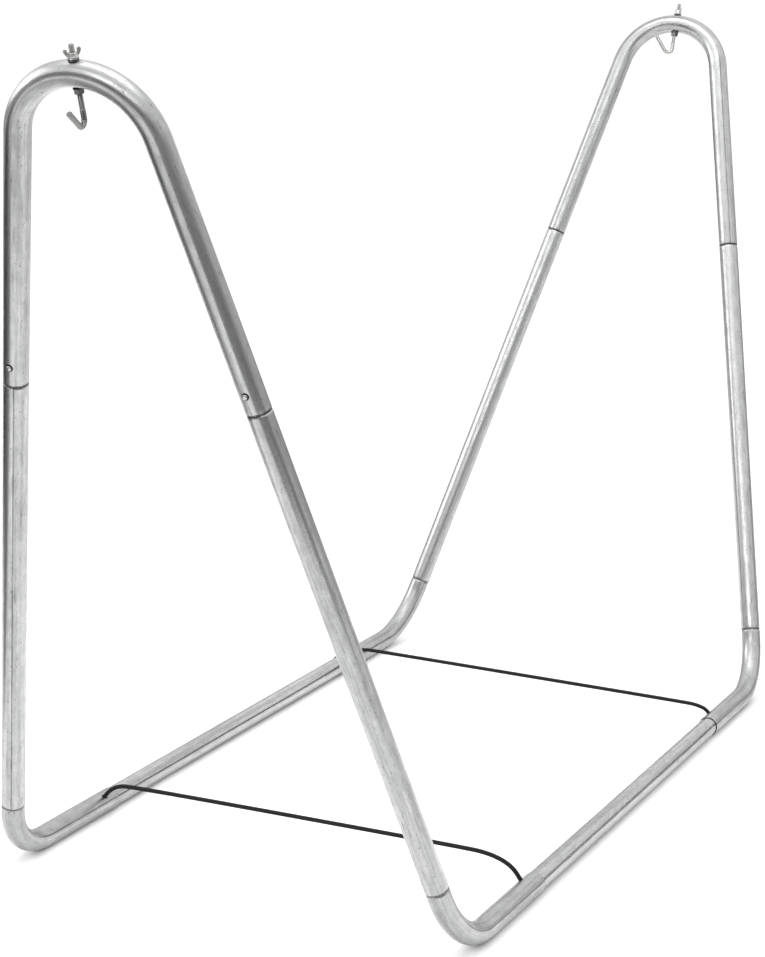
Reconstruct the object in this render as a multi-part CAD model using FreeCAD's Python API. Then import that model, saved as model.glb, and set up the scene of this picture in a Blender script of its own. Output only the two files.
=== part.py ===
import FreeCAD, Part
import math
import os

# Knock-down hammock stand of galvanised steel tube. Two floor rails run along X. At each end a
# tube arch leans outwards over the rails' ends, and a hook hangs from a screw at its top.
# Millimetres, +Z up, floor at z = 0, origin on the floor at the middle of the stand.
# Front is -X, rear is +X, left is +Y, right is -Y.

Vec = FreeCAD.Vector

# Frame
RAIL_SPACING = 800.0        # between the two rails' axes
CORNER_SPAN = 1540.0        # along X, between the points where leg axes meet rail axes
LEAN_DEG = 19.3             # arch plane, from upright, outwards
SPLAY_DEG = 12.6            # each leg, from the arch's centre line, within the arch plane
TOP_BEND_R = 111.0
CORNER_BEND_R = 138.0

# Tubes
TUBE_OD = 38.0
TUBE_WALL = 1.2
RAIL_OD = 35.0
SPIGOT_OD = 35.2            # reduced tube end that pushes into the next tube
SPIGOT_LENGTH = 60.0
SHOULDER_LENGTH = 5.0       # rounded step from the full tube down to the spigot
BORE_TAPER = 5.0            # length over which the bore narrows, just before the shoulder
JOINT_GAP = 1.0             # open line left at a pushed-home joint

# Joints, measured along a leg from its corner, and along X for the rails
UPPER_JOINT = 935.0
LOWER_JOINT = 115.0
RAIL_JOINT_X = 460.0
RAIL_INSERTION = 26.0

# Spring buttons and their clips
BUTTON_ABOVE_JOINT = 32.0
BUTTON_HOLE_R = 5.2
BUTTON_R = 4.0
BUTTON_TOP = 22.2           # from the leg's axis to the top of the dome
BUTTON_DOME = 1.6
BUTTON_HEAD_R = 5.4
BUTTON_HEAD = 1.0
BUTTON_SEAT = 13.0          # from the leg's axis to the clip's face under the button
CLIP_WIDTH = 10.0
CLIP_THICKNESS = 0.8
CLIP_BACK = 14.9            # from the leg's axis to the middle of the strip's back leg
CLIP_FLAT = 9.0             # half length of the flat under the button
CLIP_LENGTH = 44.0          # from the button's axis to the closed end of the V
CLIP_NOSE = 2.4             # half thickness of the closed end

# Screw, hook and nuts. Stations run down the screw from the tube's axis.
SCREW_R = 4.0
SCREW_HOLE_R = 4.3
NUT_BORE_R = 4.08
SCREW_TOP = -42.0
SCREW_CHAMFER = 0.7
SCREW_DROP = {"front": 2.0, "rear": -3.0}        # how far down each screw is set
HOOK_CORNER = 84.8          # where the shank's and the arm's lines cross
HOOK_TIP = 38.8
HOOK_REACH = 38.0           # shank axis to the arm's tip
HOOK_BEND_R = 9.0
HOOK_TURN_DEG = {"front": 95.0, "rear": -30.0}   # from left, towards the stand's outside
WASHER_R = 8.0
WASHER_THICKNESS = 1.6
UPPER_SEAT = -TUBE_OD / 2 - 0.05
LOWER_SEAT = TUBE_OD / 2 + 0.45
NUT_ACROSS_FLATS = 13.0
NUT_HEIGHT = 6.5
WING_TURN_DEG = 44.0
WING_BODY_R = 8.0
WING_NECK_R = 6.3
WING_BODY_HEIGHT = 9.0
WING_SPAN = 24.0
WING_TOP = 14.5             # wing tips above the nut's seat
WING_THICKNESS = 3.2

# Tie cords: each leaves a hole that tilts inwards from a corner bend's top
CORD_R = 3.75
CORD_HOLE_X = 498.0
CORD_HOLE_R = 4.5
CORD_HOLE_TILT_DEG = 32.0
STOP_R = 6.5
STOP_FROM = 2.0             # crimped stop, measured from the tube's axis along the hole
STOP_TO = 12.0
CORD_END = 1.0
# Each route runs from the left exit to the right one: y and z, over the floor, at the holes' x
FRONT_ROUTE = [(386.2, 41.1), (364, 57.5), (334, 63), (-290, 67), (-334, 64.5), (-365, 55.5), (-386.2, 41.1)]
REAR_ROUTE = [(387.3, 39.4), (364, 47.5), (338, 49), (-336, 48.2), (-364, 46.8), (-387.3, 39.4)]

AXIS_Z = TUBE_OD / 2
LEAN = math.radians(LEAN_DEG)
SPLAY = math.radians(SPLAY_DEG)
TUBE_R = TUBE_OD / 2
BORE_R = TUBE_R - TUBE_WALL
SPIGOT_R = SPIGOT_OD / 2
SPIGOT_BORE_R = SPIGOT_R - TUBE_WALL
ENDS = {"front": -1, "rear": 1}
SIDES = {"left": 1, "right": -1}
# Arch top: height of the bend's centre and of the tube's axis, up the arch plane from the rails
BEND_CENTRE = (RAIL_SPACING / 2 - TOP_BEND_R / math.cos(SPLAY)) / math.tan(SPLAY)
APEX = BEND_CENTRE + TOP_BEND_R
BUTTON_STATION = UPPER_JOINT + BUTTON_ABOVE_JOINT


def save(name, shape):
    """Write one sub-part, after a check that every solid in it is sound."""
    if not shape.isValid() or not shape.Solids:
        raise ValueError("bad shape: " + name)
    shape.exportStep("parts/" + name + ".step")


def up(end):
    """Unit vector up the arch's plane."""
    return Vec(ENDS[end] * math.sin(LEAN), 0, math.cos(LEAN))


def out(end):
    """Unit vector square to the arch's plane, away from the stand."""
    return Vec(ENDS[end] * math.cos(LEAN), 0, -math.sin(LEAN))


def base(end):
    """Middle of the line between an arch's two corners."""
    return Vec(ENDS[end] * CORNER_SPAN / 2, 0, AXIS_Z)


def corner(end, side):
    return base(end) + Vec(0, SIDES[side] * RAIL_SPACING / 2, 0)


def leg_direction(end, side):
    return up(end) * math.cos(SPLAY) - Vec(0, SIDES[side] * math.sin(SPLAY), 0)


def on_leg(end, side, distance):
    return corner(end, side) + leg_direction(end, side) * distance


def round_bar(start, finish, radius):
    """Cylinder between two points."""
    run = finish - start
    return Part.makeCylinder(radius, run.Length, start, run)


def cone(start, finish, start_radius, finish_radius):
    run = finish - start
    return Part.makeCone(start_radius, finish_radius, run.Length, start, run)


def bend(points, index, radius):
    """Tangent points and centre of the arc that rounds one corner of a route."""
    here = points[index]
    back = (points[index - 1] - here).normalize()
    ahead = (points[index + 1] - here).normalize()
    half = back.getAngle(ahead) / 2
    reach = radius / math.tan(half)
    centre = here + (back + ahead).normalize() * (radius / math.sin(half))
    return here + back * reach, here + ahead * reach, centre, math.pi - 2 * half


def bent_bar(points, radii, bar_radius):
    """A round bar along straight runs joined by tangent arcs."""
    pieces = []
    start = points[0]
    for index in range(1, len(points) - 1):
        enter, leave, centre, turn = bend(points, index, radii[index - 1])
        pieces.append(round_bar(start, enter, bar_radius))
        face = Part.Face(Part.Wire(Part.makeCircle(bar_radius, enter, enter - start)))
        axis = (enter - centre).cross(enter - start)
        pieces.append(face.revolve(centre, axis, math.degrees(turn)))
        start = leave
    pieces.append(round_bar(start, points[-1], bar_radius))
    return pieces[0].multiFuse(pieces[1:]).removeSplitter()


def bent_tube(points, radii, outer, inner):
    return bent_bar(points, radii, outer).cut(bent_bar(points, radii, inner))


def rounded_shoulder(start, direction):
    """Rounded step from the full tube down to a spigot, in two cones, as a solid bar."""
    middle = start + direction * (SHOULDER_LENGTH * 0.5)
    finish = start + direction * SHOULDER_LENGTH
    middle_r = SPIGOT_R + (TUBE_R - SPIGOT_R) * 0.75
    return cone(start, middle, TUBE_R, middle_r).fuse(cone(middle, finish, middle_r, SPIGOT_R))


def spigot(start, direction):
    """Reduced tube end, with its shoulder. The full-size tube stops at start."""
    shoulder_end = start + direction * SHOULDER_LENGTH
    tip = shoulder_end + direction * SPIGOT_LENGTH
    bar = rounded_shoulder(start, direction).fuse(round_bar(shoulder_end, tip, SPIGOT_R))
    return bar.cut(round_bar(start, tip, SPIGOT_BORE_R))


def reduced_bore(shoulder, direction):
    """Thickened inside just before a shoulder, where the bore tapers to the spigot's."""
    start = shoulder - direction * BORE_TAPER
    return round_bar(start, shoulder, TUBE_R).cut(cone(start, shoulder, BORE_R, SPIGOT_BORE_R))


def button_hole(end, side):
    """Bar that cuts a spring button's hole, outwards from the leg's axis."""
    start = on_leg(end, side, BUTTON_STATION)
    return round_bar(start, start + out(end) * TUBE_OD, BUTTON_HOLE_R)


def arch(end):
    """Top arch: two straight legs and the top bend, with the screw's hole and two button holes."""
    ends = {side: on_leg(end, side, UPPER_JOINT + JOINT_GAP) for side in SIDES}
    peak = base(end) + up(end) * (RAIL_SPACING / 2 / math.tan(SPLAY))
    tube = bent_tube([ends["left"], peak, ends["right"]], [TOP_BEND_R], TUBE_R, BORE_R)
    top = base(end) + up(end) * (APEX + TUBE_OD)
    low = base(end) + up(end) * (APEX - TUBE_OD)
    tube = tube.cut(round_bar(top, low, SCREW_HOLE_R))
    for side in SIDES:
        tube = tube.cut(button_hole(end, side))
    return tube


def leg(end, side):
    """Lower leg tube, reduced at its top to push up into the arch."""
    direction = leg_direction(end, side)
    foot = on_leg(end, side, LOWER_JOINT + JOINT_GAP)
    shoulder = on_leg(end, side, UPPER_JOINT - SHOULDER_LENGTH)
    tube = round_bar(foot, shoulder, TUBE_R).cut(round_bar(foot, shoulder, BORE_R))
    whole = tube.multiFuse([reduced_bore(shoulder, direction), spigot(shoulder, direction)])
    return whole.removeSplitter().cut(button_hole(end, side))


def corner_bend(end, side):
    """Bent foot: a socket along the floor for the rail, and a reduced end up into the leg."""
    direction = leg_direction(end, side)
    here = corner(end, side)
    mouth = Vec(ENDS[end] * RAIL_JOINT_X, here.y, here.z)
    shoulder = here + direction * (LOWER_JOINT - SHOULDER_LENGTH)
    tube = bent_tube([mouth, here, shoulder], [CORNER_BEND_R], TUBE_R, BORE_R)
    whole = tube.multiFuse([reduced_bore(shoulder, direction), spigot(shoulder, direction)])
    hole_start, hole_direction = cord_hole(end, side)
    hole = round_bar(hole_start, hole_start + hole_direction * TUBE_OD, CORD_HOLE_R)
    return whole.removeSplitter().cut(hole)


def rail(side):
    """Floor rail: a plain tube whose ends push into the corner bends."""
    half = RAIL_JOINT_X + RAIL_INSERTION
    y = SIDES[side] * RAIL_SPACING / 2
    start = Vec(-half, y, AXIS_Z)
    finish = Vec(half, y, AXIS_Z)
    return round_bar(start, finish, RAIL_OD / 2).cut(round_bar(start, finish, RAIL_OD / 2 - TUBE_WALL))


def button(end, side):
    """Spring button: a domed pin with a wider head that stays inside the leg's wall."""
    middle = on_leg(end, side, BUTTON_STATION)
    outward = out(end)
    seat = middle + outward * BUTTON_SEAT
    neck = middle + outward * (BUTTON_TOP - BUTTON_DOME)
    pin = round_bar(seat, neck, BUTTON_R)
    head = round_bar(seat, seat + outward * BUTTON_HEAD, BUTTON_HEAD_R)
    sphere_r = (BUTTON_R ** 2 + BUTTON_DOME ** 2) / (2 * BUTTON_DOME)
    ball = Part.makeSphere(sphere_r, middle + outward * (BUTTON_TOP - sphere_r))
    dome = ball.common(round_bar(neck, neck + outward * (2 * BUTTON_DOME), BUTTON_R))
    return pin.multiFuse([head, dome]).removeSplitter()


def strip(points, thickness, width, origin, along, across, sideways):
    """Bent flat strip: a centre line in the along and across plane, thickened and given width."""
    rows = [[], []]
    count = len(points)
    for index, (x, y) in enumerate(points):
        before = points[max(index - 1, 0)]
        after = points[min(index + 1, count - 1)]
        normals = []
        for start, finish in ((before, (x, y)), ((x, y), after)):
            run = math.hypot(finish[0] - start[0], finish[1] - start[1])
            if run > 0:
                normals.append((-(finish[1] - start[1]) / run, (finish[0] - start[0]) / run))
        nx = sum(n[0] for n in normals) / len(normals)
        ny = sum(n[1] for n in normals) / len(normals)
        miter = thickness / 2 / (nx * nx + ny * ny)
        rows[0].append((x + nx * miter, y + ny * miter))
        rows[1].append((x - nx * miter, y - ny * miter))
    outline = rows[0] + rows[1][::-1]
    corners = [origin + along * x + across * y - sideways * (width / 2) for x, y in outline]
    face = Part.Face(Part.makePolygon(corners + corners[:1]))
    return face.extrude(sideways * width)


def clip(end, side):
    """Spring clip: a V of strip steel inside the leg that pushes the button outwards."""
    along = leg_direction(end, side)
    across = out(end)
    front = BUTTON_SEAT - CLIP_THICKNESS / 2
    points = [(CLIP_FLAT, front), (-CLIP_FLAT, front), (CLIP_NOSE - CLIP_LENGTH, CLIP_NOSE),
              (-CLIP_LENGTH, CLIP_NOSE / 3), (-CLIP_LENGTH, -CLIP_NOSE / 3),
              (CLIP_NOSE - CLIP_LENGTH, -CLIP_NOSE), (-CLIP_FLAT, -CLIP_BACK), (CLIP_FLAT, -CLIP_BACK)]
    middle = on_leg(end, side, BUTTON_STATION)
    return strip(points, CLIP_THICKNESS, CLIP_WIDTH, middle, along, across, along.cross(across))


def on_screw(end, station):
    """Point on the screw's axis; stations count down from the tube's axis at the arch's top."""
    return base(end) + up(end) * (APEX - station)


def ring(end, top, bottom, outer, inner):
    return round_bar(on_screw(end, top), on_screw(end, bottom), outer).cut(
        round_bar(on_screw(end, top), on_screw(end, bottom), inner))


def washer(end, top):
    return ring(end, top, top + WASHER_THICKNESS, WASHER_R, SCREW_HOLE_R)


def hex_nut(end):
    """Hex nut under the arch, with both faces' corners rounded off."""
    top = LOWER_SEAT + WASHER_THICKNESS + 0.05
    bottom = top + NUT_HEIGHT
    corner_r = NUT_ACROSS_FLATS / 2 / math.cos(math.pi / 6)
    left = Vec(0, 1, 0)
    points = []
    for step in range(7):
        angle = math.radians(60 * step)
        points.append(on_screw(end, top) + left * (corner_r * math.cos(angle))
                      + out(end) * (corner_r * math.sin(angle)))
    block = Part.Face(Part.makePolygon(points)).extrude(on_screw(end, bottom) - on_screw(end, top))
    for face, inside in ((top, 1), (bottom, -1)):
        middle = (top + bottom) / 2
        bound = cone(on_screw(end, face), on_screw(end, middle), NUT_ACROSS_FLATS / 2 * 0.96,
                     NUT_ACROSS_FLATS / 2 * 0.96 + NUT_HEIGHT / 2 / math.tan(math.radians(30)))
        keep = bound.common(Part.makeCylinder(NUT_ACROSS_FLATS, NUT_HEIGHT / 2,
                                              on_screw(end, face), up(end) * -inside))
        other = Part.makeCylinder(NUT_ACROSS_FLATS, NUT_HEIGHT / 2, on_screw(end, middle), up(end) * -inside)
        block = block.common(keep.fuse(other))
    return block.cut(round_bar(on_screw(end, top - 1), on_screw(end, bottom + 1), NUT_BORE_R))


def wing_nut(end):
    """Wing nut on the screw above the arch: a tapered body and two wings that rise outwards."""
    seat = UPPER_SEAT - WASHER_THICKNESS - 0.05
    body = cone(on_screw(end, seat), on_screw(end, seat - WING_BODY_HEIGHT), WING_BODY_R, WING_NECK_R)
    turn = math.radians(WING_TURN_DEG)
    reach = Vec(0, 1, 0) * math.cos(turn) + out(end) * math.sin(turn)
    rise = up(end)
    flat = reach.cross(rise)
    half = WING_SPAN / 2
    for sign in (1, -1):
        outline = [(WING_NECK_R - 1.7, 1.5), (WING_BODY_R - 0.6, 1.5), (WING_BODY_R + 0.6, WING_TOP * 0.27),
                   (half, WING_TOP * 0.68), (half, WING_TOP - 1.8), (half - 2.2, WING_TOP),
                   (half - 5.6, WING_TOP - 1.6), (WING_NECK_R + 0.4, WING_BODY_HEIGHT + 0.9),
                   (WING_NECK_R - 1.1, WING_BODY_HEIGHT - 0.5)]
        corners = [on_screw(end, seat - z) + reach * (sign * x) - flat * (WING_THICKNESS / 2)
                   for x, z in outline]
        wing = Part.Face(Part.makePolygon(corners + corners[:1])).extrude(flat * WING_THICKNESS)
        body = body.fuse(wing)
    top = seat - WING_TOP - 1
    return body.removeSplitter().cut(round_bar(on_screw(end, seat + 1), on_screw(end, top), NUT_BORE_R))


def hook(end):
    """Screw with a hook bent on its lower end."""
    turn = math.radians(HOOK_TURN_DEG[end])
    reach = Vec(0, 1, 0) * math.cos(turn) + out(end) * math.sin(turn)
    drop = SCREW_DROP[end]
    points = [on_screw(end, SCREW_TOP + drop), on_screw(end, HOOK_CORNER + drop),
              on_screw(end, HOOK_TIP + drop) + reach * HOOK_REACH]
    bar = bent_bar(points, [HOOK_BEND_R], SCREW_R)
    rims = [edge for face in bar.Faces if face.Surface.TypeId == "Part::GeomPlane" for edge in face.Edges]
    return bar.makeChamfer(SCREW_CHAMFER, rims)


def cord_hole(end, side):
    """Axis of the cord's hole: a point on the tube's axis and the direction outwards."""
    tilt = math.radians(CORD_HOLE_TILT_DEG)
    start = Vec(ENDS[end] * CORD_HOLE_X, SIDES[side] * RAIL_SPACING / 2, AXIS_Z)
    return start, Vec(0, -SIDES[side] * math.sin(tilt), math.cos(tilt))


def cord_stop(end, side):
    """Stop crimped on the cord's end inside the corner bend, too wide for the hole."""
    start, direction = cord_hole(end, side)
    low = start + direction * STOP_FROM
    high = start + direction * STOP_TO
    return round_bar(low, high, STOP_R).cut(round_bar(low, high, CORD_R + 0.05))


def cord(end, route):
    """Tie cord across the stand, from inside one corner bend to inside the other."""
    x = ENDS[end] * CORD_HOLE_X
    ends = []
    for side in SIDES:
        start, direction = cord_hole(end, side)
        ends.append(start + direction * CORD_END)
    points = [ends[0]] + [Vec(x, y, z) for y, z in route] + [ends[1]]
    radii = []
    for index in range(1, len(points) - 1):
        back = points[index - 1] - points[index]
        ahead = points[index + 1] - points[index]
        half_turn = (math.pi - back.getAngle(ahead)) / 2
        radii.append(0.45 * min(back.Length, ahead.Length) / math.tan(half_turn))
    bar = bent_bar(points, radii, CORD_R)
    length = 0
    mark = points[0]
    for index in range(1, len(points) - 1):
        enter, leave, centre, turn = bend(points, index, radii[index - 1])
        length += (enter - mark).Length + turn * radii[index - 1]
        mark = leave
    length += (points[-1] - mark).Length
    print(end, "cord: length", round(length, 1), "bend radii", [round(radius) for radius in radii],
          "volume over section times length", round(bar.Volume / (math.pi * CORD_R ** 2 * length), 4))
    return bar


os.makedirs("parts", exist_ok=True)

for side_name in SIDES:
    save(side_name + "_rail", rail(side_name))

for end_name, cord_route in (("front", FRONT_ROUTE), ("rear", REAR_ROUTE)):
    save(end_name + "_arch", arch(end_name))
    save(end_name + "_tie_cord", cord(end_name, cord_route))
    save(end_name + "_upper_washer", washer(end_name, UPPER_SEAT - WASHER_THICKNESS))
    save(end_name + "_lower_washer", washer(end_name, LOWER_SEAT))
    save(end_name + "_wing_nut", wing_nut(end_name))
    save(end_name + "_hex_nut", hex_nut(end_name))
    save(end_name + "_hook", hook(end_name))
    for side_name in SIDES:
        prefix = end_name + "_" + side_name + "_"
        save(prefix + "leg", leg(end_name, side_name))
        save(prefix + "corner_bend", corner_bend(end_name, side_name))
        save(prefix + "button", button(end_name, side_name))
        save(prefix + "spring_clip", clip(end_name, side_name))
        save(prefix + "cord_stop", cord_stop(end_name, side_name))
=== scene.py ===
"""Knock-down hammock stand of galvanised tube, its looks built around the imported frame. Metres."""

import math
from collections import namedtuple

import bmesh
import bpy
from mathutils import Matrix, Vector, kdtree, noise


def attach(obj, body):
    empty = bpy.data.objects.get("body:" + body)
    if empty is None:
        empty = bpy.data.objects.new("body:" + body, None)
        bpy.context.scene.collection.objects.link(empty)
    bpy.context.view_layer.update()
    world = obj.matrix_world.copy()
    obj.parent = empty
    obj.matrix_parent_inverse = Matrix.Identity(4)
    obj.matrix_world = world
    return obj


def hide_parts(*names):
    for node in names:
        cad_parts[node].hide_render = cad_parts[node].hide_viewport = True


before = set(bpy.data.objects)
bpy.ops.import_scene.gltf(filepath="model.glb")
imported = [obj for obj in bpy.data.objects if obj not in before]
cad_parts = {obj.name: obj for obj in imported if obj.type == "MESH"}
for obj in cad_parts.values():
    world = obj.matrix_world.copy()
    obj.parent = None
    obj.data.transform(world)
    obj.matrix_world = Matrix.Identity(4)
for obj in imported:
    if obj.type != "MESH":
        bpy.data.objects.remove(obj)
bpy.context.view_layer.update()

# Driving dimensions, the same as the CAD model's
RAIL_SPACING = 0.8
CORNER_SPAN = 1.54
LEAN = math.radians(19.3)
SPLAY = math.radians(12.6)
TOP_BEND_R = 0.111
CORNER_BEND_R = 0.138
TUBE_R = 0.019
WALL = 0.0012
RAIL_R = 0.0175
SPIGOT_R = 0.0176
SPIGOT_LENGTH = 0.06
SHOULDER = 0.005
UNDARKENED_SHOULDER = 0.0029     # length of a shoulder left bright before its darker metal, dirt with painted shade in the joint's groove
UPPER_JOINT = 0.935
LOWER_JOINT = 0.115
JOINT_GAP = 0.001
RAIL_JOINT_X = 0.46
RAIL_END_X = 0.486
BUTTON_STATION = 0.967
BUTTON_HOLE_R = 0.0052
BUTTON_SEAT = 0.013
BUTTON_TOP = 0.0222
BUTTON_R = 0.004
BUTTON_HEAD_R = 0.0054
SCREW_R = 0.004
SCREW_HOLE_R = 0.0043
SCREW_TOP = -0.042
SCREW_DROP = {"front": 0.002, "rear": -0.003}     # how far down each screw is set
THREAD_END = 0.05
PITCH = 0.00125
THREAD_DEPTH = 0.0006
HOOK_CORNER = 0.0848
HOOK_TIP = 0.0388
HOOK_REACH = 0.038
HOOK_BEND_R = 0.009
HOOK_TURN = {"front": math.radians(95), "rear": math.radians(-30)}
WASHER_R = 0.008
WASHER_THICKNESS = 0.0016
WING_TURN = math.radians(44)
WING_HALF_SPAN = 0.012
WING_TOP = 0.0145
WING_THICKNESS = 0.0032
UPPER_SEAT = -0.01905
LOWER_SEAT = 0.01945
CORD_R = 0.00375
CORD_HOLE_X = 0.498
CORD_HOLE_R = 0.0045
CORD_HOLE_TILT = math.radians(32)
CORD_END = 0.001
FRONT_ROUTE = [(0.3862, 0.0411), (0.366, 0.058), (0.336, 0.063), (-0.29, 0.0715),
               (-0.334, 0.0695), (-0.367, 0.0595), (-0.3864, 0.0425)]
REAR_ROUTE = [(0.3873, 0.0394), (0.364, 0.0475), (0.338, 0.049), (-0.336, 0.0482),
              (-0.364, 0.0468), (-0.3873, 0.0394)]

ENDS = {"front": -1, "rear": 1}
SIDES = {"left": 1, "right": -1}
AXIS_Z = TUBE_R
BEND_CENTRE = (RAIL_SPACING / 2 - TOP_BEND_R / math.cos(SPLAY)) / math.tan(SPLAY)
APEX = BEND_CENTRE + TOP_BEND_R
AROUND = 72                 # sides of a tube's section
TUBE_STEP = 0.008           # longest gap between a tube's rings
WOBBLE = 0.00005            # depth of a tube's unevenness
TURNED_SIDES = 48           # sides of a turned piece
CORD_SIDES = 24
OUTSIDE, GRIMY_AND_SHADED, SWAGED = range(3)   # a tube's material slots
DRILL = 0.03                # reach of a hole's cutter, past the tube's wall
HOLE_RIM = 0.0001           # how far from a hole's wall its near-black metal, dirt with painted shade, reaches
SHARP = math.radians(35)    # edges over this angle stay sharp
TINY = 1e-9                 # slack when distances are compared
ARCH_BRIGHTNESS = {"front": 0.47, "rear": 0.50}
# Weld lines, in degrees round each tube's section from its bend plane's normal
ARCH_SEAM = 150
LEG_SEAM = {"left": 21, "right": 150}
CORNER_SEAM = {"front": {"left": 216, "right": 189}, "rear": {"left": -36, "right": -9}}
RAIL_SEAM = 158
SKY = 1.25                  # brightness straight overhead
HORIZON = 0.82              # share of it at the horizon


# ---------------------------------------------------------------- places on the frame

def up(end):
    """Unit vector up the arch's plane."""
    return Vector((ENDS[end] * math.sin(LEAN), 0, math.cos(LEAN)))


def out(end):
    """Unit vector square to the arch's plane, away from the stand."""
    return Vector((ENDS[end] * math.cos(LEAN), 0, -math.sin(LEAN)))


def base(end):
    return Vector((ENDS[end] * CORNER_SPAN / 2, 0, AXIS_Z))


def corner(end, side):
    return base(end) + Vector((0, SIDES[side] * RAIL_SPACING / 2, 0))


def leg_direction(end, side):
    return up(end) * math.cos(SPLAY) - Vector((0, SIDES[side] * math.sin(SPLAY), 0))


def on_leg(end, side, distance):
    return corner(end, side) + leg_direction(end, side) * distance


def on_screw(end, station):
    """Point on the screw's axis, counted down from the tube's axis at the arch's top."""
    return base(end) + up(end) * (APEX - station)


def cord_hole(end, side):
    """Axis of a tie cord's hole: a point on the tube's axis and the direction outwards."""
    start = Vector((ENDS[end] * CORD_HOLE_X, SIDES[side] * RAIL_SPACING / 2, AXIS_Z))
    return start, Vector((0, -SIDES[side] * math.sin(CORD_HOLE_TILT), math.cos(CORD_HOLE_TILT)))


# ---------------------------------------------------------------- camera

def make_camera():
    """The main view, from in front and to the right, looking down a little and slightly rolled."""
    place = Vector((-4.0404, -1.7407, 1.5491))
    yaw = 0.42852
    pitch = 0.22300
    roll = 0.03218
    forward = Vector((math.cos(pitch) * math.cos(yaw), math.cos(pitch) * math.sin(yaw),
                      -math.sin(pitch)))
    level = Vector((math.sin(yaw), -math.cos(yaw), 0))
    rise = level.cross(forward)
    right = level * math.cos(roll) + rise * math.sin(roll)
    top = rise * math.cos(roll) - level * math.sin(roll)
    data = bpy.data.cameras.new("camera")
    data.lens = 93.88
    data.sensor_width = 36
    data.clip_end = 60
    camera = bpy.data.objects.new("camera", data)
    turn = Matrix((right, top, -forward)).transposed()
    camera.matrix_world = Matrix.Translation(place) @ turn.to_4x4()
    bpy.context.scene.collection.objects.link(camera)
    bpy.context.scene.camera = camera


make_camera()


# ---------------------------------------------------------------- node helpers

class Nodes:
    """Small wrapper that adds nodes to one material and links them."""

    def __init__(self, name):
        self.material = bpy.data.materials.new(name)
        self.material.use_nodes = True
        self.tree = self.material.node_tree
        self.tree.nodes.clear()
        self.output = self.tree.nodes.new("ShaderNodeOutputMaterial")
        self.shader = self.tree.nodes.new("ShaderNodeBsdfPrincipled")
        self.link(self.shader.outputs["BSDF"], self.output.inputs["Surface"])

    def link(self, start, finish):
        self.tree.links.new(start, finish)

    def set(self, socket, value):
        self.shader.inputs[socket].default_value = value

    def tube_coordinates(self):
        """The point as if its tube were straightened: x and y across it, z along it."""
        node = self.tree.nodes.new("ShaderNodeAttribute")
        node.attribute_name = "straightened"
        return node.outputs["Vector"]

    def object_coordinates(self):
        return self.tree.nodes.new("ShaderNodeTexCoord").outputs["Object"]

    def scaled(self, vector, scale, offset=(0, 0, 0)):
        node = self.tree.nodes.new("ShaderNodeMapping")
        node.inputs["Scale"].default_value = scale
        node.inputs["Location"].default_value = offset
        self.link(vector, node.inputs["Vector"])
        return node.outputs["Vector"]

    def noise(self, vector, detail=3, rough=0.5):
        node = self.tree.nodes.new("ShaderNodeTexNoise")
        node.inputs["Scale"].default_value = 1
        node.inputs["Detail"].default_value = detail
        node.inputs["Roughness"].default_value = rough
        self.link(vector, node.inputs["Vector"])
        return node.outputs["Fac"]

    def cells(self, vector):
        """One random value in each cell."""
        node = self.tree.nodes.new("ShaderNodeTexVoronoi")
        node.inputs["Scale"].default_value = 1
        self.link(vector, node.inputs["Vector"])
        return self.separate(node.outputs["Color"])[0]

    def remap(self, value, low, high, to_low, to_high):
        node = self.tree.nodes.new("ShaderNodeMapRange")
        node.interpolation_type = "SMOOTHSTEP"
        self.link(value, node.inputs["Value"])
        node.inputs["From Min"].default_value = low
        node.inputs["From Max"].default_value = high
        node.inputs["To Min"].default_value = to_low
        node.inputs["To Max"].default_value = to_high
        return node.outputs["Result"]

    def math(self, operation, first, second=0):
        node = self.tree.nodes.new("ShaderNodeMath")
        node.operation = operation
        for index, value in enumerate((first, second)):
            if isinstance(value, (int, float)):
                node.inputs[index].default_value = value
            else:
                self.link(value, node.inputs[index])
        return node.outputs["Value"]

    def times(self, first, second):
        return self.math("MULTIPLY", first, second)

    def darken(self, tone, amount):
        """A tone with an amount of it, from 0 to 1, taken away."""
        return self.times(tone, self.math("SUBTRACT", 1.0, amount))

    def separate(self, vector):
        node = self.tree.nodes.new("ShaderNodeSeparateXYZ")
        self.link(vector, node.inputs["Vector"])
        return [node.outputs[axis] for axis in "XYZ"]

    def grey(self, value, tint=(1.0, 1.0, 1.0)):
        """A colour from one brightness, slightly tinted."""
        node = self.tree.nodes.new("ShaderNodeCombineColor")
        for channel, factor in zip(("Red", "Green", "Blue"), tint):
            self.link(self.times(value, factor), node.inputs[channel])
        return node.outputs["Color"]

    def bump(self, height, distance, below=None):
        """A normal raised by a height, on top of the bumps below."""
        node = self.tree.nodes.new("ShaderNodeBump")
        node.inputs["Distance"].default_value = distance
        node.inputs["Strength"].default_value = 1.0
        self.link(height, node.inputs["Height"])
        if below is not None:
            self.link(below, node.inputs["Normal"])
        return node.outputs["Normal"]

    def colour_to(self, socket):
        self.link(socket, self.shader.inputs["Base Color"])

    def roughness_to(self, socket):
        self.link(socket, self.shader.inputs["Roughness"])

    def normal_to(self, socket):
        self.link(socket, self.shader.inputs["Normal"])


# ---------------------------------------------------------------- materials

JOINT_DIRT_AND_SHADE = (0.0011, 0.0022)       # distances from a joint over which its darkening fades: dirt with painted shade in the joint's groove
HOLE_RING = (0.0002, 0.0012)        # distances from a hole's edge over which its dark ring fades: painted shade at the hole's edge, with dirt
WELD_EDGE = (0.9975, 0.9994)        # cosines of the angles from the weld line over which it fades


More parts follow.
